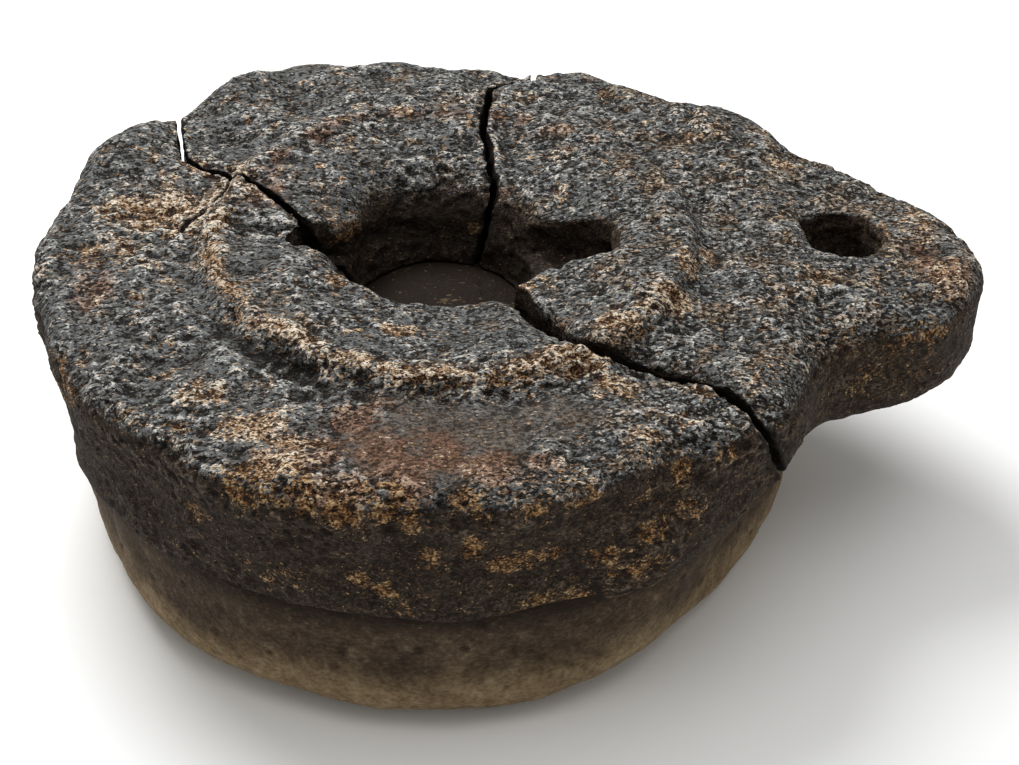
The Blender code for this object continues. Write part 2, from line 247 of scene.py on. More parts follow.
def patches(*rows: Sequence[float]) -> tuple[Patch, ...]:
    """Patches from rows of numbers.

    Args:
        rows: each a centre and three half sizes in millimetres and, where it isn't 1, a strength.

    Returns:
        The patches.
    """
    return tuple(
        Patch(tuple(value / 1000 for value in row[:3]), tuple(value / 1000 for value in row[3:6]), *row[6:])
        for row in rows
    )


@dataclass(frozen=True)
class Skin:
    """How one stone's fine surface is made."""

    node: Node
    slot: str
    voxel: float
    seed: int
    smoothing: int


# The surface crack beside the left break, and the pale crust along it
FISSURE = Stroke(((-0.105, 0.082), (-0.110, 0.072), (-0.119, 0.059), (-0.126, 0.047), (-0.139, 0.029)), 2.6 * MM)
FISSURE_EDGES = Stroke(FISSURE.points, 0.016)

# Pale crumbly crust away from the collar's crest, then chips, ochre growth, rust and worn hollows
CRUST_PATCHES = patches(
    (-155, 50, 169, 42, 26, 30, 0.85),
    (-178, 10, 169, 30, 22, 30, 0.55),
    (-128, -120, 169, 20, 16, 20, 0.80),
    (-104, -150, 169, 28, 14, 20, 0.85),
    (-80, -164, 168, 24, 10, 20, 0.75),
    (-94, -178, 167, 30, 13, 20, 0.90),
    (-26, -84, 177, 17, 7, 20, 0.95),
    (-50, -87, 177, 10, 4, 20, 0.95),
    (-56, -34, 175, 10, 12, 20, 0.75),
    (58, -120, 178, 30, 16, 20),
    (80, -136, 169, 20, 12, 20, 0.80),
    (88, -174, 168, 20, 9, 20, 0.75),
    (86, -96, 180, 20, 12, 20, 0.95),
    (118, -74, 177, 20, 14, 20, 0.90),
    (130, -45, 177, 10, 18, 20, 0.85),
    (40, -50, 172, 12, 10, 20, 0.75),
    (-104, 56, 178, 14, 14, 20, 0.60),
    (200, 69, 162, 20, 10, 20, 0.60),
    (268, 5, 158, 18, 35, 20, 0.60),
    (274, -45, 158, 16, 26, 20, 0.60),
    (200, -45, 163, 20, 12, 20, 0.55),
    (160, 96, 170, 20, 14, 20, 0.55),
    (144, -28, 169, 14, 12, 20, 0.60),
)
CHIPS = patches(
    (-48.4, 58, 176, 4, 3, 6),
    (-31.2, 66, 176, 2.5, 2, 6),
    (-59, 70.4, 178, 6, 4, 6),
    (70.5, -142, 170, 5, 3, 6),
    (168.6, 62.4, 168, 4, 3, 6),
    (-100.3, 140, 168, 2, 7, 6),
)
OCHRE_PATCHES = patches(
    (-112, -186, 160, 14, 20, 18),
    (-90, -190, 165, 26, 20, 8, 0.80),
    (-63, -204, 158, 18, 20, 16, 1.05),
    (-34, -209, 160, 22, 20, 11, 1.10),
    (-31, -212, 154, 8, 20, 10),
    (2, -208, 162, 24, 20, 7, 0.90),
    (5, -210, 154, 6, 20, 9, 0.95),
    (30, -209, 158, 12, 20, 8, 0.95),
    (56, -205, 158, 16, 20, 8),
    (88, -193, 148, 14, 20, 10, 0.75),
    (107, -184, 153, 8, 20, 15, 0.85),
    (125.4, -176, 154, 3, 20, 9, 0.85),
    (133.7, -172, 153, 4, 20, 10, 0.85),
    (-18.5, -212, 131, 12, 20, 11, 0.90),
    (0, -212, 136, 8, 20, 12, 0.85),
    (-42, -208, 108, 10, 20, 11, 0.95),
    (-28, -210, 100, 12, 20, 13, 0.80),
    (21, -210, 121, 20, 20, 10, 0.90),
    (40, -206, 123, 10, 20, 6, 0.70),
    (70, -203, 116, 18, 20, 8, 0.85),
    (92, -198, 126, 18, 20, 10, 0.90),
    (111, -190, 130, 14, 20, 10, 0.85),
    (86, -202, 104, 24, 20, 12, 0.80),
    (40, -205, 92, 40, 20, 9, 0.70),
    (-105, -186, 163, 22, 20, 10, 0.80),
    (-80, -198, 160, 22, 20, 12, 0.75),
    (-45, -200, 166, 24, 20, 8, 0.80),
    (-133, -168, 128, 12, 20, 16, 0.55),
    (-50, 34, 160, 16, 22, 12, 0.62),
    (-36, 37, 142, 12, 16, 10, 0.55),
    (24.5, 46, 144, 6, 12, 10, 0.65),
    (20, 127, 179, 14, 5, 10, 0.75),
    (27, 108, 179, 7, 10, 10, 0.65),
    (-55, -206, 116, 16, 20, 12, 0.55),
    (-100, -188, 106, 30, 20, 14, 0.50),
    (250, -81, 142, 42, 20, 22, 0.60),
    (230, -82, 125, 36, 20, 20, 0.52),
    (220, -81, 150, 24, 20, 12, 0.45),
    (-200, -82, 150, 20, 30, 20, 0.60),
)
RUST_PATCHES = patches(
    (-50, -160, 168, 38, 44, 20, 1.35),
    (-28, -180, 166, 38, 38, 20, 1.50),
    (-66, -196, 160, 36, 22, 20, 1.10),
    (-90, -172, 168, 45, 26, 20, 0.80),
    (22, -190, 164, 55, 20, 20, 0.70),
    (-188, -10, 168, 20, 50, 30, 0.70),
    (-50, 35, 155, 22, 20, 20, 0.90),
    (-85, 60, 176, 22, 18, 20, 0.60),
    (60, -95, 165, 30, 30, 20, 0.70),
    (272, -30, 156, 26, 55, 20, 0.75),
    (38, 48, 166, 14, 8, 10, 0.70),
    (-90, 45, 176, 30, 22, 20, 0.65),
)
SMOOTH_PATCHES = patches(
    (-12, -166, 168, 74, 42, 22, 1.15),
    (45, -156, 168, 34, 30, 20, 0.90),
)

SKINS = (
    Skin(Node.FRONT, "upper_basalt", 1.15 * MM, 11, 24),
    Skin(Node.BACK, "upper_basalt", 1.10 * MM, 11, 24),
    Skin(Node.HANDLE, "upper_basalt", 1.15 * MM, 11, 24),
    Skin(Node.BED, "bed_basalt", 1.80 * MM, 23, 20),
)


def strongest(patches: Iterable[Patch], points: np.ndarray) -> np.ndarray:
    """The share of whichever patch covers each point most."""
    result = np.zeros(len(points))
    for patch in patches:
        result = np.maximum(result, patch.share(points))
    return result


class Surface:
    """The vertices of a mesh as arrays, with the tools that reshape them."""

    def __init__(self, mesh: bpy.types.Mesh) -> None:
        self.mesh = mesh
        self.count = len(mesh.vertices)
        self.points = self._read("vertices", "co").reshape(-1, 3).astype(np.float64)
        edges = np.empty(len(mesh.edges) * 2, np.int32)
        mesh.edges.foreach_get("vertices", edges)
        self.edges = edges.reshape(-1, 2)
        self.degree = np.bincount(self.edges.ravel(), minlength=self.count).astype(np.float64)

    def _read(self, collection: str, name: str) -> np.ndarray:
        values = np.empty(self.count * 3, np.float32)
        getattr(self.mesh, collection).foreach_get(name, values)
        return values

    def normals(self) -> np.ndarray:
        """The vertex normals of the mesh as it was last written."""
        values = np.empty(self.count * 3, np.float32)
        self.mesh.vertex_normals.foreach_get("vector", values)
        return values.reshape(-1, 3).astype(np.float64)

    def averaged(self, values: np.ndarray) -> np.ndarray:
        """The mean of each vertex's neighbours."""
        a, b = self.edges[:, 0], self.edges[:, 1]
        columns = values.reshape(self.count, -1)
        result = np.empty_like(columns)
        for i in range(columns.shape[1]):
            column = columns[:, i]
            total = np.bincount(a, column[b], self.count) + np.bincount(b, column[a], self.count)
            result[:, i] = total / np.maximum(self.degree, 1.0)
        return result.reshape(values.shape)

    def standing(self, height: np.ndarray, passes: int) -> np.ndarray:
        """How far each vertex stands above its surroundings.

        Args:
            height: the height of each vertex.
            passes: how many rounds of averaging make up the surroundings.

        Returns:
            The height over the surroundings, in the same unit.
        """
        around = height
        for _ in range(passes):
            around = self.averaged(around)
        return height - around

    def relax(self, passes: int, weight: np.ndarray) -> None:
        """Rounds the surface off.

        Args:
            passes: how many times each vertex moves half way to its neighbours' mean.
            weight: how freely each vertex moves, 0 to 1.
        """
        for _ in range(passes):
            self.points += 0.5 * weight[:, None] * (self.averaged(self.points) - self.points)

    def write(self) -> None:
        """Puts the points back into the mesh."""
        self.mesh.vertices.foreach_set("co", self.points.astype(np.float32).ravel())
        self.mesh.update()

    def store(self, mask: Mask, values: np.ndarray) -> None:
        """Keeps a value for each vertex as an attribute that the materials read."""
        layer = self.mesh.attributes.new(mask.value, "FLOAT", "POINT")
        layer.data.foreach_set("value", np.clip(values, 0.0, 1.0).astype(np.float32))


def polar(points: np.ndarray, centre: Sequence[float]) -> tuple[np.ndarray, np.ndarray]:
    """Distance and angle of each point around a vertical line."""
    x, y = points[:, 0] - centre[0], points[:, 1] - centre[1]
    return np.hypot(x, y), np.arctan2(y, x)


class UpperWear:
    """Wears one piece of the upper stone: reshapes its surface and stores its masks.

    Most of what it keeps is a share for each vertex, from 0 to 1.
    """

    def __init__(self, surface: Surface, skin: Skin, contact: np.ndarray, breaks: np.ndarray) -> None:
        """Rounds the piece off and finds the zones of the stone on it.

        Args:
            surface: the piece's fine surface.
            skin: what the piece is like.
            contact: how far each vertex is from the bed stone.
            breaks: how far each vertex is from the other two pieces.
        """
        self.surface, self.node, self.breaks = surface, skin.node, breaks
        self.noise = StoneNoise(skin.seed)
        self.open_air = smoothstep(contact, 1.0 * MM, 4.0 * MM)
        self.off_break = smoothstep(breaks, 5.5 * MM, 9.0 * MM)
        self._round_off(skin.smoothing)
        self.normals, self.points = surface.normals(), surface.points.copy()
        self.up = smoothstep(self.normals[:, 2], 0.15, 0.65)
        self.high = smoothstep(self.points[:, 2], RIM_HEIGHT - 0.030, RIM_HEIGHT - 0.008)
        self.collar_r, self.collar_a = polar(self.points, COLLAR_CENTRE)
        self.rim_r, _ = polar(self.points, RIM_CENTRE)
        self.socket_r, _ = polar(self.points, SOCKET_CENTRE)

        smooth = strongest(SMOOTH_PATCHES, self.points) + 0.35 * self._layered(0.022, 2, 3)
        self.smooth = smoothstep(smooth, 0.05, 1.10) * self.up
        sway = COLLAR_SWAY * self._layered(0.040, 2, 23)
        self.crest = np.exp(-((self.collar_r - COLLAR_CREST + sway) / 0.0085) ** 2) * self.high
        foot = np.exp(-((self.collar_r - COLLAR_FOOT + 2.0 * sway) / 0.0065) ** 2) * self.high
        self.foot = foot * (0.10 + 0.90 * np.exp(-((self.collar_a - FOOT_SHADE_TURN) / 0.34) ** 2))
        astray = self._drift(0.012, 35, 2) * 1.5 * MM
        self.fissure = FISSURE.share(self.points[:, :2] + astray) * self.high
        self.shed = self._shed()

    def apply(self) -> None:
        """Wears the surface and stores the masks."""
        outward = self._outward()
        self._reshape(outward)
        self._store(outward)

    def _layered(self, length: float, octaves: int, salt: int) -> np.ndarray:
        return self.noise.layered(self.points, length, octaves, salt)

    def _drift(self, length: float, salt: int, axes: int) -> np.ndarray:
        """A smooth random offset for each vertex, about -1 to 1 along each axis."""
        return np.stack([self._layered(length, 2, salt + i) for i in range(axes)], axis=1)

    def _round_off(self, passes: int) -> None:
        """Rounds the worn edges, and the lobe's outer edge more than the rest."""
        surface = self.surface
        surface.relax(passes, 0.12 + 0.88 * self.off_break * self.open_air)
        if self.node is Node.HANDLE:
            lobe = smoothstep(surface.points[:, 0], 0.120, 0.170)
            lobe *= smoothstep(polar(surface.points, SOCKET_CENTRE)[0], 0.034, 0.044)
            surface.relax(LOBE_PASSES, lobe * self.open_air * self.off_break)
        surface.write()

    def _shed(self) -> np.ndarray:
        """Where the handle piece's edge has crumbled away along the front break."""
        if self.node is not Node.HANDLE:
            return np.zeros(len(self.points))
        front = smoothstep(-self.points[:, 1], 0.050, 0.075)
        shed = smoothstep(self.breaks, 13.0 * MM, 2.0 * MM) * front * self.high
        return shed * np.clip(0.9 + 0.8 * self._layered(0.016, 3, 33), 0.0, 1.4)

    def _rugged(self) -> np.ndarray:
        """The broken, pitted relief of the upper stone's faces, in metres."""
        bent = (self.points + self._drift(0.010, 40, 3) * 2.2 * MM) * np.array(STONE_GRAIN)
        lumps = self._layered(0.034, 3, 1)
        ledges = 0.36 - np.abs(self.noise.layered(bent, 0.0150, 2, 5))
        jags = self.noise.layered(bent, 0.0050, 2, 7)
        wide = self.noise.pits(bent, 0.0130, 0.46, 0.30, 1)
        mid = self.noise.pits(bent, 0.0072, 0.44, 0.34, 2)
        small = self.noise.pits(bent, 0.0044, 0.42, 0.40, 3)
        patchy = 0.40 + 0.80 * smoothstep(self.noise.gradient(self.points, 0.045, 71), -0.35, 0.45)
        height = 2.8 * lumps + (1.9 * ledges + 0.9 * jags - 1.6 * wide - 1.3 * mid) * patchy - 1.1 * small
        return height * MM

    def _outward(self) -> np.ndarray:
        """How far the wear moves each vertex along its normal, in metres."""
        plateau = smoothstep(self.collar_r, 0.122, 0.108) * smoothstep(np.sin(self.collar_a - 0.6), 0.15, -0.25)
        below_rim = smoothstep(self.points[:, 2], 0.120, 0.150) * smoothstep(self.rim_r, 0.17, 0.19)
        rough = np.maximum(0.55 + 0.45 * self.up, 0.90 * below_rim)
        rough = rough * (1.0 - 0.50 * self.smooth) * (1.0 - 0.20 * plateau)
        outward = self._rugged() * rough - 0.5 * MM
        outward += np.clip(self.crest, 0.0, 1.0) * (0.7 + 0.7 * self._layered(0.0060, 2, 21)) * MM * self.up
        outward -= self.foot * 2.2 * MM
        outward -= FISSURE_DEPTH * smoothstep(self.fissure, 0.0, 0.7)

        edge_wear = (-0.3 + 0.8 * self._layered(0.009, 3, 31)) * MM
        chipped = smoothstep(self._layered(0.009, 2, 45), 0.05, 0.55) * smoothstep(self.normals[:, 2], 0.05, 0.35)
        edge_wear -= CHIP_DEPTH * chipped * self.high
        outward = outward * self.off_break + (1.0 - self.off_break) * edge_wear
        outward = np.where(self.breaks < 7.0 * MM, np.minimum(outward, 0.5 * MM), outward)
        return outward * self.open_air - 0.3 * MM * (1.0 - self.open_air)

    def _reshape(self, outward: np.ndarray) -> None:
        """Moves the vertices outward, bends the holes' edges and lowers the edges along the front break."""
        moved = self.points + self.normals * outward[:, None]
        holes = np.maximum(smoothstep(self.socket_r, 0.040, 0.028), smoothstep(self.collar_r, 0.114, 0.096))
        holes *= smoothstep(self.points[:, 2], 0.105, 0.135)
        for axis in (0, 1):
            moved[:, axis] += HOLE_SWAY * holes * self._layered(0.019, 3, 81 + axis)
        if self.node is Node.FRONT:
            near_eye = smoothstep(self.collar_r, COLLAR_FOOT - 0.006, 0.100)
            near_eye = near_eye * smoothstep(self.points[:, 0], 0.0, 0.03)
            worn_off = smoothstep(self.breaks, 20.0 * MM, 3.0 * MM) * near_eye * self.high
            moved[:, 2] -= EDGE_DROP * (worn_off * (0.85 + 0.4 * self._layered(0.014, 2, 33)))
        moved[:, 2] -= SHED_DROP * self.shed
        self.surface.points = moved
        self.surface.write()

    def _crust(self, clumps: np.ndarray) -> np.ndarray:
        """The pale, crumbly crust on the collar's crest, along worn edges and in patches."""
        edge = smoothstep(self.breaks, 13.0 * MM, 5.0 * MM) * self.up * (0.45 + 0.6 * self._layered(0.03, 2, 51))
        shoulder = np.exp(-((self.rim_r - RIM_RADIUS + 0.008) / 0.010) ** 2) * self.high
        shoulder *= smoothstep(self._layered(0.055, 2, 53), -0.1, 0.6)
        front = smoothstep(-np.sin(self.collar_a + 0.45), -0.15, 0.35)
        worn = self.crest * (0.16 + 0.62 * front) + 0.45 * clumps * self.crest
        worn = np.maximum(worn, strongest(CRUST_PATCHES, self.points) + 0.30 * clumps * (worn < 0.3))
        worn = np.maximum(worn, (0.80 if self.node is Node.FRONT else 0.45) * edge)
        worn = np.maximum(worn, 0.45 * shoulder)
        worn = np.maximum(worn, FISSURE_EDGES.share(self.points[:, :2]) * self.up * self.high)
        worn = np.maximum(worn, 0.46 * smoothstep(clumps, 0.15, 0.70))
        worn = worn * np.clip(self.up + 0.2, 0.0, 1.0) * (1.0 - 0.55 * self.smooth)
        return np.maximum(worn, 1.3 * strongest(CHIPS, self.points))

    def _store(self, outward: np.ndarray) -> None:
        """Stores the masks that the material reads.

        Args:
            outward: how far the wear has moved each vertex.
        """
        surface, points, height = self.surface, self.points, self.points[:, 2]
        clumps = self._layered(0.016, 3, 57)
        in_eye = smoothstep(height, RIM_HEIGHT + 0.006, RIM_HEIGHT - 0.014) * smoothstep(self.collar_r, 0.104, 0.094)
        in_socket = smoothstep(height, RIM_HEIGHT - 0.012, RIM_HEIGHT - 0.022)
        in_socket = in_socket * smoothstep(self.socket_r, 0.030, 0.025)
        in_hole = np.maximum(in_eye, in_socket)
        broken = (1.0 - self.off_break) * (1.0 - self.up)
        # Painted light on the handle piece's break face along the front break, which lies in the crack's shade
        painted_light = broken * smoothstep(self.collar_r, 0.132, 0.108) * smoothstep(-points[:, 1], 0.03, 0.06)
        painted_light *= float(self.node is Node.HANDLE)

        rust_and_painted_light = strongest(RUST_PATCHES, points) * (0.80 + 0.7 * self._layered(0.018, 3, 65))
        # Painted brown shade on the collar's inner slope at the back, which faces away from the light
        step = np.exp(-((self.collar_r - COLLAR_CREST + 0.008) / 0.0070) ** 2)
        step = step * smoothstep(points[:, 1], 0.03, 0.09) * self.high
        rust_and_painted_light = np.maximum(np.maximum(rust_and_painted_light, step * (0.70 + 0.7 * clumps)), 0.8 * painted_light)
        # Painted shade at the collar's foot, inside the eye and socket, on the break faces, in the fissure and on
        # the crumbled edge along the front break
        painted_shade = np.maximum(0.75 * self.foot * self.up, 0.60 * in_hole)
        for shaded_place in (broken - 0.95 * painted_light, smoothstep(self.fissure, 0.0, 0.25), 0.55 * self.shed):
            painted_shade = np.maximum(painted_shade, shaded_place)
        # Painted highlight on raised spots and painted shade in small pits and broad hollows, from how far each
        # vertex stands above its surroundings
        relief_highlight_and_shade = surface.standing(outward, 9) / MM / 2.1
        surface.store(Mask.PEAK, 0.5 + relief_highlight_and_shade + surface.standing(outward, 60) / MM / 4.0)
        surface.store(Mask.WORN, self._crust(clumps))
        surface.store(Mask.OCHRE, strongest(OCHRE_PATCHES, points) * (0.72 + 1.3 * self._layered(0.013, 3, 61)))
        surface.store(Mask.RUST, rust_and_painted_light)
        # Brown dirt on the faces that turn from the sky, partly painted shade, and painted shade inside the eye and
        # socket
        surface.store(Mask.WALL, np.maximum(1.0 - smoothstep(self.normals[:, 2], 0.10, 0.80), in_hole) - 0.7 * painted_light)
        surface.store(Mask.SOIL, painted_shade)
        surface.store(Mask.SMOOTH, self.smooth)


class StoneMaker:
    """Makes the fine skin of each stone from its CAD solid."""

    def __init__(self) -> None:
        self.trees = {node: self._tree(node) for node in Node}

    @staticmethod
    def _welded(node: Node) -> bmesh.types.BMesh:
        bm = bmesh.new()
        bm.from_mesh(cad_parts[node.value].data)
        bmesh.ops.remove_doubles(bm, verts=bm.verts[:], dist=1e-6)
        return bm

    def _tree(self, node: Node) -> BVHTree:
        bm = self._welded(node)
        tree = BVHTree.FromBMesh(bm)
        bm.free()
        return tree

    def _nearest(self, points: np.ndarray, nodes: Iterable[Node]) -> np.ndarray:
        """How far each point is from the nearest of these solids, up to NEIGHBOUR_REACH."""
        result = np.full(len(points), NEIGHBOUR_REACH)
        for tree in (self.trees[node] for node in nodes):
            for i, point in enumerate(points):
                found = tree.find_nearest(point, NEIGHBOUR_REACH)[3]
                if found is not None:
                    result[i] = min(result[i], found)
        return result

    @staticmethod
    def _fine_copy(obj: bpy.types.Object) -> None:
        """Replaces an object's mesh with what its modifiers make of it."""
        bpy.context.view_layer.update()
        old = obj.data
        new = bpy.data.meshes.new_from_object(obj.evaluated_get(bpy.context.evaluated_depsgraph_get()))
        obj.modifiers.clear()
        obj.data = new
        bpy.data.meshes.remove(old)

    def _fine_mesh(self, skin: Skin) -> bpy.types.Object:
        """An even, dense mesh of the solid."""
        bm = self._welded(skin.node)
        mesh = bpy.data.meshes.new(f"{skin.node.value}_skin")
        bm.to_mesh(mesh)
        bm.free()
        obj = bpy.data.objects.new(f"{skin.node.value}_skin", mesh)
        bpy.context.scene.collection.objects.link(obj)
        remesh = obj.modifiers.new("Even", "REMESH")
        remesh.mode = "VOXEL"
        remesh.voxel_size = skin.voxel
        self._fine_copy(obj)
        return obj

    def _thin(self, obj: bpy.types.Object) -> None:
        """Takes triangles away where the surface is flat, until the skin keeps to the budget."""
        obj.data.calc_loop_triangles()
        count = len(obj.data.loop_triangles)
        if count > TRIANGLE_BUDGET:
            obj.modifiers.new("Thin", "DECIMATE").ratio = TRIANGLE_BUDGET / count
            self._fine_copy(obj)

    def make(self, skin: Skin) -> bpy.types.Object:
        """Builds one stone's skin and ties it to the frame.

        Args:
            skin: what the stone is like.

        Returns:
            The skin's object.
        """
        obj = self._fine_mesh(skin)
        surface = Surface(obj.data)
        if skin.node is Node.BED:
            self._weather_bed(surface, skin, self._nearest(surface.points, UPPER_NODES))
        else:
            others = [node for node in UPPER_NODES if node is not skin.node]
            contact = self._nearest(surface.points, [Node.BED])
            UpperWear(surface, skin, contact, self._nearest(surface.points, others)).apply()
        self._thin(obj)
        obj.data.shade_smooth()
        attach(obj, "root")
        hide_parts(skin.node.value)
        obj.data.calc_loop_triangles()
        log.info("%s: %d vertices, %d triangles", obj.name, len(obj.data.vertices), len(obj.data.loop_triangles))
        return obj

    @staticmethod
    def _weather_bed(surface: Surface, skin: Skin, contact: np.ndarray) -> None:
        """Wears the bed stone, which is smoother than the upper one."""
        noise = StoneNoise(skin.seed)
        open_air = smoothstep(contact, 1.0 * MM, 5.0 * MM)
        grounded = smoothstep(surface.points[:, 2], 1.0 * MM, 5.0 * MM)
        surface.relax(skin.smoothing, (0.1 + 0.9 * open_air) * grounded)
        surface.write()
        normals, points = surface.normals(), surface.points.copy()
        relief = 1.2 * noise.layered(points, 0.05, 3, 1) + 0.6 * noise.layered(points, 0.011, 3, 3)
        pits = noise.pits(points, 0.013, 0.40, 0.30, 2)
        outward = (relief - 1.1 * pits - 0.4) * MM * 0.7
        outward = outward * open_air * grounded - 0.3 * MM * (1.0 - open_air)
        surface.points = points + normals * outward[:, None]
        surface.points[:, 2] = np.maximum(surface.points[:, 2], 0.0)
        surface.write()
        under_eye = smoothstep(np.hypot(points[:, 0], points[:, 1]), 0.075, 0.055)
        under_eye = under_eye * smoothstep(points[:, 2], 0.10, 0.11)
        # Painted shadow along the top of the bed under the upper stone, and painted shade inside the eye
        seam = 0.85 * smoothstep(points[:, 2], 0.066, SEAM_HEIGHT - 0.002) * (1.0 - under_eye)
        # Painted highlight on the bed's bumps and painted shade in its hollows
        surface.store(Mask.PEAK, 0.5 + surface.standing(outward, 10) / MM / 1.4)
        # Paler, olive-brown towards the bottom of the bed
        surface.store(Mask.WORN, smoothstep(points[:, 2], 0.062, 0.012))
        surface.store(Mask.SOIL, np.maximum(seam, under_eye))
        surface.store(Mask.OCHRE, 0.55 * under_eye * smoothstep(noise.layered(points, 0.02, 3, 9), 0.1, 0.7))


Socket = bpy.types.NodeSocket
Color = tuple[float, float, float, float]
Stops = Sequence[tuple[float, Color]]


@dataclass
class Board:
    """A node tree with short calls for adding nodes."""

    tree: bpy.types.NodeTree
    column: int = field(default=0)

    def add(self, kind: str, **settings: object) -> bpy.types.Node:
        """Adds a node.

        Args:
            kind: the node's type, such as ShaderNodeMath.
            settings: its properties.

        Returns:
            The node.
        """
        node = self.tree.nodes.new(kind)
        for name, value in settings.items():
            setattr(node, name, value)
        node.location = (180 * (self.column % 12), -220 * (self.column // 12))
        self.column += 1
        return node

    def link(self, value: object, socket: Socket) -> None:
        """Joins a socket to another, or sets it to a value."""
        if isinstance(value, bpy.types.NodeSocket):
            self.tree.links.new(value, socket)
        else:
            socket.default_value = value

    def math(self, operation: str, a: object, b: object = 0.0, c: object = 0.0, clamp: bool = False) -> Socket:
        """A Math node's result."""
        node = self.add("ShaderNodeMath", operation=operation, use_clamp=clamp)
        for value, socket in zip((a, b, c), node.inputs):
            self.link(value, socket)
        return node.outputs[0]

    def ramp(self, value: object, low: object, high: object) -> Socket:
        """A smooth rise from 0 at low to 1 at high."""
        node = self.add("ShaderNodeMapRange", interpolation_type="SMOOTHSTEP")
        self.link(value, node.inputs["Value"])
        self.link(low, node.inputs["From Min"])
        self.link(high, node.inputs["From Max"])
        return node.outputs["Result"]

    def mix(self, share: object, a: object, b: object, blend: str = "MIX") -> Socket:
        """A colour between two others."""
        node = self.add("ShaderNodeMix", data_type="RGBA", blend_type=blend, clamp_factor=True)
        self.link(share, node.inputs[0])
        self.link(a, node.inputs[6])
        self.link(b, node.inputs[7])
        return node.outputs[2]

    def about(self, noise: Socket, swing: float, base: object) -> Socket:
        """A base value moved up and down by a noise that runs around a half."""
        return self.math("MULTIPLY_ADD", self.math("SUBTRACT", noise, 0.5), swing, base)

    def cover(self, share: Socket, strength: float, color: Socket, over: object) -> Socket:
        """A colour with another laid over it, at most as strongly as strength says."""
        return self.mix(self.math("MULTIPLY", share, strength), color, over)

    def colors(self, value: object, stops: Stops) -> Socket:
        """A Color Ramp's colour.

        Args:
            value: where to read the ramp, 0 to 1.
            stops: the place and colour of each stop, in order.

        Returns:
            The colour.
        """
        node = self.add("ShaderNodeValToRGB")
        ramp = node.color_ramp
        while len(ramp.elements) < len(stops):
            ramp.elements.new(0.5)
        for element, (place, _) in zip(ramp.elements, stops):
            element.position = place
        for element, (_, color) in zip(ramp.elements, stops):
            element.color = color
        self.link(value, node.inputs[0])
        return node.outputs[0]

    def noise(
        self, vector: Socket, scale: object, detail: float = 3.0, rough: float = 0.55, distortion: float = 0.0
    ) -> Socket:
        """A Noise Texture's factor."""
        node = self.add("ShaderNodeTexNoise")
        self.link(vector, node.inputs["Vector"])
        self.link(scale, node.inputs["Scale"])
        node.inputs["Detail"].default_value = detail
        node.inputs["Roughness"].default_value = rough
        node.inputs["Distortion"].default_value = distortion
        return node.outputs[0]

    def attribute(self, mask: Mask) -> Socket:
        """A vertex attribute's value."""
        return self.add("ShaderNodeAttribute", attribute_name=mask.value).outputs["Fac"]


def rgb(red: float, green: float, blue: float) -> Color:
    """A colour socket's value."""
    return (red, green, blue, 1.0)


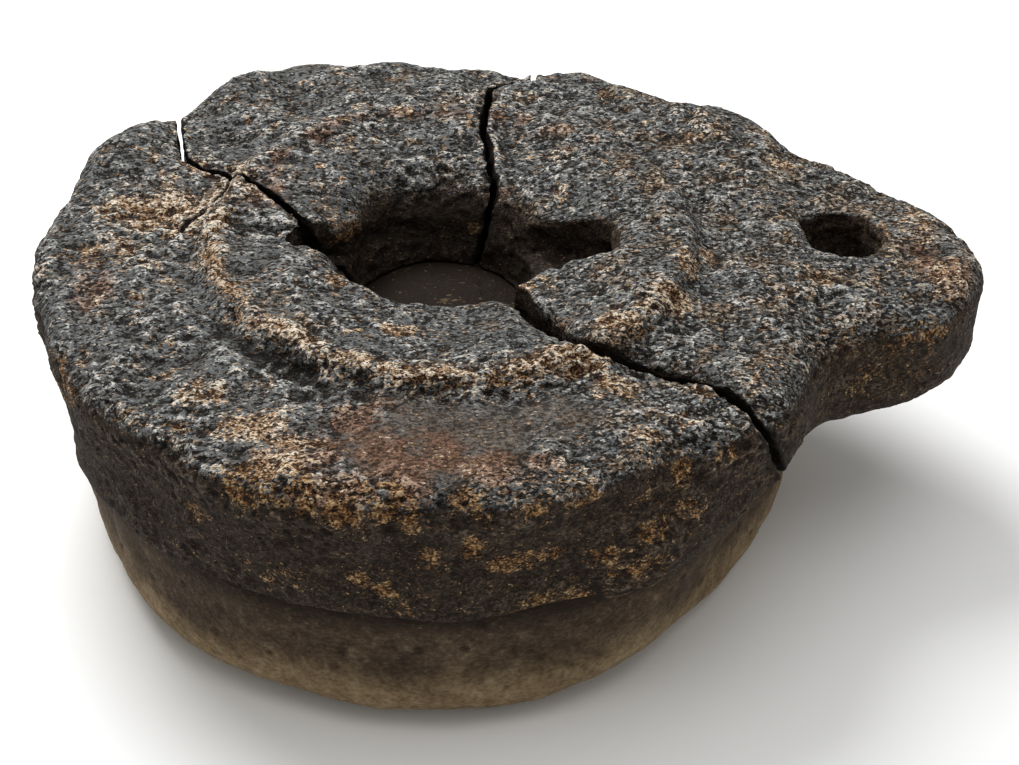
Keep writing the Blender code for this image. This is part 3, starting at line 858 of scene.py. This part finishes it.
class Groups:
    """Node groups that the stone materials share."""

    def __init__(self) -> None:
        self.ragged = self._ragged()
        self.crumble = self._crumble()
        self.grain = self._grain()

    @staticmethod
    def _start(name: str, inputs: Iterable[tuple[str, str, object]], outputs: Iterable[tuple[str, str]]) -> tuple:
        tree = bpy.data.node_groups.new(name, "ShaderNodeTree")
        for label, kind, default in inputs:
            socket = tree.interface.new_socket(name=label, in_out="INPUT", socket_type=kind)
            if default is not None:
                socket.default_value = default
        for label, kind in outputs:
            tree.interface.new_socket(name=label, in_out="OUTPUT", socket_type=kind)
        board = Board(tree)
        return tree, board, board.add("NodeGroupInput"), board.add("NodeGroupOutput")

    def _ragged(self) -> bpy.types.NodeTree:
        """Turns a soft mask into a patch whose edge breaks up along a noise."""
        tree, board, given, result = self._start(
            "RaggedPatch",
            (
                ("Mask", "NodeSocketFloat", 0.0),
                ("Noise", "NodeSocketFloat", 0.5),
                ("Raggedness", "NodeSocketFloat", 1.0),
                ("Level", "NodeSocketFloat", 0.5),
                ("Softness", "NodeSocketFloat", 0.1),
            ),
            (("Mask", "NodeSocketFloat"),),
        )
        above = board.math("SUBTRACT", given.outputs["Noise"], 0.5)
        swing = board.math("MULTIPLY", above, given.outputs["Raggedness"])
        height = board.math("ADD", given.outputs["Mask"], swing)
        low = board.math("SUBTRACT", given.outputs["Level"], given.outputs["Softness"])
        high = board.math("ADD", given.outputs["Level"], given.outputs["Softness"])
        board.link(board.ramp(height, low, high), result.inputs["Mask"])
        return tree

    def _crumble(self) -> bpy.types.NodeTree:
        """The network of pale ridges on crumbly worn stone."""
        tree, board, given, result = self._start(
            "CrumblyWear",
            (("Vector", "NodeSocketVector", None), ("Scale", "NodeSocketFloat", 230.0)),
            (("Ridge", "NodeSocketFloat"), ("Tone", "NodeSocketFloat")),
        )
        wave = board.noise(given.outputs["Vector"], given.outputs["Scale"], 2.0, 0.6, 0.8)
        fold = board.math("ABSOLUTE", board.math("SUBTRACT", wave, 0.5))
        board.link(board.ramp(fold, 0.095, 0.0), result.inputs["Ridge"])
        board.link(wave, result.inputs["Tone"])
        return tree

    def _grain(self) -> bpy.types.NodeTree:
        """The fine grain of broken basalt: three independent noises, each spread out around a half."""
        tree, board, given, result = self._start(
            "BasaltGrain",
            (("Vector", "NodeSocketVector", None), ("Scale", "NodeSocketFloat", 500.0)),
            (("Height", "NodeSocketFloat"), ("Tint", "NodeSocketFloat"), ("Spot", "NodeSocketFloat")),
        )
        fine = board.add("ShaderNodeTexNoise")
        board.link(given.outputs["Vector"], fine.inputs["Vector"])
        board.link(given.outputs["Scale"], fine.inputs["Scale"])
        fine.inputs["Detail"].default_value = 1.0
        fine.inputs["Roughness"].default_value = 0.60
        split = board.add("ShaderNodeSeparateColor")
        board.link(fine.outputs["Color"], split.inputs[0])
        for channel, name in zip(split.outputs, ("Height", "Tint", "Spot")):
            spread = board.math("MULTIPLY_ADD", board.math("SUBTRACT", channel, 0.5), 2.4, 0.5)
            board.link(spread, result.inputs[name])
        return tree


@dataclass(frozen=True)
class StoneFinish:
    """The colours of one stone, from the painted shade of its pits to the painted highlights of its peaks, and how
    its surface takes the light.
    """

    name: str
    stone: Stops
    worn: Stops
    ochre: Stops
    painted_shade: Color
    roughness: float
    specular: float
    bump: float


@dataclass(frozen=True)
class UpperFinish(StoneFinish):
    """The colours that only the upper stone has."""

    warm: Stops
    film: Stops
    wall_dirt_and_shade: Stops
    rust_and_painted_light: Stops
    painted_glint: Color
    warm_painted_glint: Color


UPPER_FINISH = UpperFinish(
    name="UpperBasalt",
    stone=(
        (0.10, rgb(0.007, 0.006, 0.005)), (0.28, rgb(0.025, 0.0245, 0.022)), (0.40, rgb(0.071, 0.0735, 0.071)),
        (0.60, rgb(0.108, 0.113, 0.112)), (0.74, rgb(0.185, 0.188, 0.182)), (0.92, rgb(0.52, 0.51, 0.48)),
    ),
    warm=(
        (0.10, rgb(0.009, 0.006, 0.004)), (0.28, rgb(0.032, 0.022, 0.014)), (0.40, rgb(0.068, 0.051, 0.036)),
        (0.60, rgb(0.110, 0.086, 0.063)), (0.74, rgb(0.22, 0.175, 0.130)), (0.92, rgb(0.48, 0.41, 0.33)),
    ),
    film=(
        (0.20, rgb(0.034, 0.024, 0.017)), (0.50, rgb(0.082, 0.062, 0.047)), (0.80, rgb(0.17, 0.14, 0.115)),
    ),
    wall_dirt_and_shade=(
        (0.12, rgb(0.009, 0.0055, 0.0036)), (0.40, rgb(0.022, 0.0137, 0.0088)), (0.62, rgb(0.040, 0.026, 0.0165)),
        (0.92, rgb(0.092, 0.065, 0.044)),
    ),
    worn=(
        (0.16, rgb(0.020, 0.008, 0.003)), (0.36, rgb(0.110, 0.050, 0.017)), (0.52, rgb(0.25, 0.145, 0.070)),
        (0.70, rgb(0.42, 0.310, 0.200)), (0.92, rgb(0.71, 0.62, 0.50)),
    ),
    ochre=(
        (0.15, rgb(0.012, 0.005, 0.002)), (0.38, rgb(0.070, 0.030, 0.011)), (0.56, rgb(0.155, 0.073, 0.025)),
        (0.76, rgb(0.275, 0.155, 0.062)), (0.95, rgb(0.46, 0.32, 0.17)),
    ),
    rust_and_painted_light=(
        (0.20, rgb(0.026, 0.012, 0.007)), (0.50, rgb(0.120, 0.057, 0.031)), (0.80, rgb(0.34, 0.205, 0.135)),
    ),
    painted_glint=rgb(0.52, 0.51, 0.48),
    warm_painted_glint=rgb(0.42, 0.310, 0.200),
    # The near black of the painted shade
    painted_shade=rgb(0.006, 0.0045, 0.0034),
    roughness=0.74,
    specular=0.10,
    bump=1.0,
)
BED_FINISH = StoneFinish(
    name="BedBasalt",
    stone=(
        (0.12, rgb(0.025, 0.0155, 0.0098)), (0.45, rgb(0.050, 0.033, 0.0205)), (0.70, rgb(0.080, 0.055, 0.035)),
        (0.92, rgb(0.13, 0.095, 0.064)),
    ),
    # The paler colours towards the bottom of the bed
    worn=(
        (0.12, rgb(0.095, 0.062, 0.032)), (0.50, rgb(0.225, 0.160, 0.085)), (0.90, rgb(0.36, 0.28, 0.17)),
    ),
    ochre=((0.2, rgb(0.05, 0.033, 0.018)), (0.8, rgb(0.17, 0.12, 0.07))),
    painted_shade=rgb(0.011, 0.0075, 0.005),
    # The near black of the painted shade
    roughness=0.76,
    specular=0.10,
    bump=0.6,
)


class StoneMaterials:
    """Builds the two stone materials from the shared groups."""

    def __init__(self) -> None:
        self.groups = Groups()

    def _use(self, board: Board, tree: bpy.types.NodeTree, **values: object) -> bpy.types.Node:
        node = board.add("ShaderNodeGroup")
        node.node_tree = tree
        for name, value in values.items():
            board.link(value, node.inputs[name])
        return node

    def _patch(
        self, board: Board, mask: Socket, noise: Socket, raggedness: float, level: float, softness: float
    ) -> Socket:
        """A soft mask as a ragged patch: raggedness is how far the noise moves its edge."""
        node = self._use(
            board, self.groups.ragged, Mask=mask, Noise=noise, Raggedness=raggedness, Level=level, Softness=softness
        )
        return node.outputs["Mask"]

    @staticmethod
    def _start(finish: StoneFinish) -> tuple[bpy.types.Material, Board, bpy.types.Node, Socket]:
        """A new material with its board, its shader and the stretched place that the noises are read at."""
        material = bpy.data.materials.new(finish.name)
        material.use_nodes = True
        board = Board(material.node_tree)
        shader = material.node_tree.nodes["Principled BSDF"]
        shader.inputs["Roughness"].default_value = finish.roughness
        shader.inputs["Specular IOR Level"].default_value = finish.specular
        stretch = board.add("ShaderNodeVectorMath", operation="MULTIPLY")
        board.link(board.add("ShaderNodeTexCoord").outputs["Object"], stretch.inputs[0])
        stretch.inputs[1].default_value = STONE_GRAIN
        return material, board, shader, stretch.outputs[0]

    @staticmethod
    def _bump(board: Board, shader: bpy.types.Node, height: Socket, strength: float, distance: float) -> None:
        """Gives the shader fine relief from a height."""
        bump = board.add("ShaderNodeBump")
        bump.inputs["Strength"].default_value = strength
        bump.inputs["Distance"].default_value = distance
        board.link(height, bump.inputs["Height"])
        board.link(bump.outputs[0], shader.inputs["Normal"])

    def upper(self, finish: UpperFinish) -> bpy.types.Material:
        """The rough, weathered stone of the three upper pieces.

        Args:
            finish: its colours.

        Returns:
            The material.
        """
        material, board, shader, vector = self._start(finish)
        relief_highlight_and_shade, worn, ochre, rust_and_painted_light, wall_dirt_and_shade, painted_shade, smooth = (board.attribute(mask) for mask in (
            Mask.PEAK, Mask.WORN, Mask.OCHRE, Mask.RUST, Mask.WALL, Mask.SOIL, Mask.SMOOTH
        ))
        grain = self._use(board, self.groups.grain, Vector=vector, Scale=GRAIN_SCALE).outputs
        pitting = self._use(board, self.groups.grain, Vector=vector, Scale=PIT_SCALE).outputs
        crumble = self._use(board, self.groups.crumble, Vector=vector, Scale=CRUMBLE_SCALE)
        ridge, tone = crumble.outputs["Ridge"], crumble.outputs["Tone"]
        cloud = board.noise(vector, CLOUD_SCALE, 3.0, 0.62)
        across = board.add("ShaderNodeSeparateXYZ")
        board.link(vector, across.inputs[0])
        right = board.ramp(across.outputs["X"], -0.10, 0.14)

        # Bare stone: grey on the left, warmer towards the lobe, with painted highlights on its raised spots, painted
        # shade in its pits and hollows, and pale painted glints
        relief = board.math("MULTIPLY_ADD", relief_highlight_and_shade, 0.64, 0.18)
        pit_height = board.about(right, -0.05, board.about(cloud, -0.30, pitting["Height"]))
        flat = board.ramp(pit_height, 0.29, 0.41)
        level = board.about(pitting["Tint"], 0.26, board.about(cloud, 0.40, relief))
        level = board.about(grain["Height"], 0.34, level)
        calm = board.math("MULTIPLY_ADD", smooth, -0.35, 1.0)
        level = board.math("MULTIPLY_ADD", board.math("SUBTRACT", level, 0.5), calm, 0.5)
        tint = board.about(cloud, 3.2, board.about(tone, 1.4, board.about(right, 0.36, 0.28)))
        warmth = board.ramp(board.about(grain["Tint"], 0.4, tint), 0.42, 0.85)
        color = board.mix(warmth, board.colors(level, finish.stone), board.colors(level, finish.warm))
        # Pale painted glints scattered over the bare stone, fewer on the smooth patch
        spot = board.about(right, 0.16, board.about(cloud, 0.50, pitting["Spot"]))
        painted_glint = board.math("MULTIPLY", board.ramp(spot, 0.76, 0.92), board.math("MULTIPLY_ADD", smooth, -0.50, 0.55))
        color = board.mix(painted_glint, color, board.mix(warmth, finish.painted_glint, finish.warm_painted_glint))
        color = board.cover(smooth, 0.70, color, board.colors(level, finish.film))

        # What lies on it: rust, partly painted light and shade; crumbly crust; the dirt of the walls, partly painted
        # shade, also inside the eye and socket; and ochre growth
        speckle = board.about(tone, 1.2, grain["Spot"])
        # Rust, with painted brown shade on the collar's back slope and painted light on the handle's break face
        rust_and_light_patch = self._patch(board, board.about(cloud, 1.6, rust_and_painted_light), speckle, 0.7, 0.55, 0.26)
        color = board.cover(rust_and_light_patch, 0.78, color, board.colors(level, finish.rust_and_painted_light))
        crust = self._patch(board, board.about(tone, 1.5, worn), pitting["Spot"], 0.9, 0.50, 0.13)
        crust_level = board.about(tone, 0.6, board.about(grain["Height"], 0.70, relief))
        crust_level = board.math("MULTIPLY_ADD", ridge, 0.12, crust_level)
        color = board.cover(crust, 0.88, color, board.colors(crust_level, finish.worn))
        speckle = board.about(tone, 1.0, grain["Spot"])
        dirt_and_shade_patch = self._patch(board, board.about(cloud, 1.1, wall_dirt_and_shade), speckle, 0.7, 0.40, 0.26)
        wall_level = board.about(right, 0.12, level)
        color = board.cover(dirt_and_shade_patch, 0.95, color, board.colors(wall_level, finish.wall_dirt_and_shade))
        lichen = self._patch(board, board.about(tone, 2.0, ochre), grain["Spot"], 0.9, 0.58, 0.18)
        lichen_level = board.about(tone, 1.0, crust_level)
        color = board.cover(lichen, 0.85, color, board.colors(lichen_level, finish.ochre))

        # Painted shade in the pits, and over all of it painted shade at the collar's foot, in the cracks, in the
        # holes and on the break faces
        calm = board.math("MULTIPLY", calm, board.math("MULTIPLY_ADD", wall_dirt_and_shade, -0.35, 1.0))
        pitted = board.math("MULTIPLY", board.math("SUBTRACT", 1.0, flat), board.math("MULTIPLY", calm, 0.93))
        color = board.mix(pitted, color, board.mix(crust, finish.painted_shade, finish.worn[0][1]))
        color = board.cover(painted_shade, 0.88, color, finish.painted_shade)
        board.link(color, shader.inputs["Base Color"])

        height = board.math("MULTIPLY_ADD", tone, 0.8, board.math("MULTIPLY_ADD", grain["Height"], 0.30, flat))
        self._bump(board, shader, board.math("MULTIPLY", height, calm), finish.bump, 1.0 * MM)
        return material

    def bed(self, finish: StoneFinish) -> bpy.types.Material:
        """The smoother, browner stone of the bed.

        Args:
            finish: its colours.

        Returns:
            The material.
        """
        material, board, shader, vector = self._start(finish)
        relief_highlight_and_shade, low, painted_shade, ochre = (board.attribute(mask) for mask in (Mask.PEAK, Mask.WORN, Mask.SOIL, Mask.OCHRE))
        grain = self._use(board, self.groups.grain, Vector=vector, Scale=BED_GRAIN_SCALE).outputs["Height"]
        cloud = board.noise(vector, BED_CLOUD_SCALE, 4.0, 0.62, 0.2)
        # The colour level follows the painted highlight and shade of the relief
        level = board.about(cloud, 0.55, board.about(grain, 0.36, relief_highlight_and_shade))
        paler_low = self._patch(board, low, cloud, 1.1, 0.50, 0.50)
        color = board.cover(paler_low, 0.85, board.colors(level, finish.stone), board.colors(level, finish.worn))
        pale = self._patch(board, ochre, grain, 0.8, 0.45, 0.15)
        # Painted shadow under the upper stone and painted shade inside the eye
        color = board.cover(painted_shade, 0.97, color, finish.painted_shade)
        color = board.cover(pale, 0.5, color, board.colors(level, finish.ochre))
        board.link(color, shader.inputs["Base Color"])
        self._bump(board, shader, grain, finish.bump, 0.8 * MM)
        return material


class Studio:
    """Floor, lights and camera."""

    camera_place = (-0.0734, -1.1184, 0.9475)
    camera_target = (0.0392, 0.0, 0.0699)
    lens = 88.53
    light_target = (0.0, 0.0, 0.1)
    light_color = (0.99, 0.995, 1.0)
    floor_reach = 14.0

    def build(self) -> None:
        """Sets up all that isn't the object."""
        self._floor()
        self._world()
        self._area("KeyLight", (-0.60, 1.15, 1.90), 1.4, 51.0)
        self._area("OverheadLight", (0.1, -0.1, 2.2), 2.4, 20.0)
        self._camera()

    def _floor(self) -> None:
        mesh = bpy.data.meshes.new("floor")
        corners = [(x * self.floor_reach, y * self.floor_reach, 0) for x, y in ((-1, -1), (1, -1), (1, 1), (-1, 1))]
        mesh.from_pydata(corners, [], [(0, 1, 2, 3)])
        floor = bpy.data.objects.new("floor", mesh)
        bpy.context.scene.collection.objects.link(floor)
        material = bpy.data.materials.new("PaleFloor")
        material.use_nodes = True
        shader = material.node_tree.nodes["Principled BSDF"]
        shader.inputs["Base Color"].default_value = rgb(0.90, 0.90, 0.89)
        shader.inputs["Roughness"].default_value = 0.9
        mesh.materials.append(material)

    @staticmethod
    def _world() -> None:
        world = bpy.data.worlds.new("Studio")
        world.use_nodes = True
        background = world.node_tree.nodes["Background"]
        background.inputs["Color"].default_value = rgb(1.0, 0.985, 0.965)
        background.inputs["Strength"].default_value = 0.45
        bpy.context.scene.world = world
        bpy.context.scene.view_settings.view_transform = "Standard"

    def _area(self, name: str, place: Sequence[float], size: float, power: float) -> None:
        light = bpy.data.lights.new(name, "AREA")
        light.shape = "DISK"
        light.size = size
        light.energy = power
        light.color = self.light_color
        lamp = bpy.data.objects.new(name, light)
        lamp.location = place
        lamp.rotation_euler = (Vector(self.light_target) - Vector(place)).to_track_quat("-Z", "Y").to_euler()
        bpy.context.scene.collection.objects.link(lamp)

    def _camera(self) -> None:
        data = bpy.data.cameras.new("Camera")
        data.lens = self.lens
        data.sensor_width = 36.0
        camera = bpy.data.objects.new("Camera", data)
        camera.location = self.camera_place
        aim = Vector(self.camera_target) - Vector(self.camera_place)
        camera.rotation_euler = aim.to_track_quat("-Z", "Y").to_euler()
        bpy.context.scene.collection.objects.link(camera)
        bpy.context.scene.camera = camera


def main() -> None:
    """Builds the visual model and the studio."""
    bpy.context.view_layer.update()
    materials = StoneMaterials()
    finishes = {"upper_basalt": materials.upper(UPPER_FINISH), "bed_basalt": materials.bed(BED_FINISH)}
    maker = StoneMaker()
    for skin in SKINS:
        obj = maker.make(skin)
        obj.data.materials.clear()
        obj.data.materials.append(finishes[skin.slot])
    Studio().build()


if __name__ == "__main__":
    main()
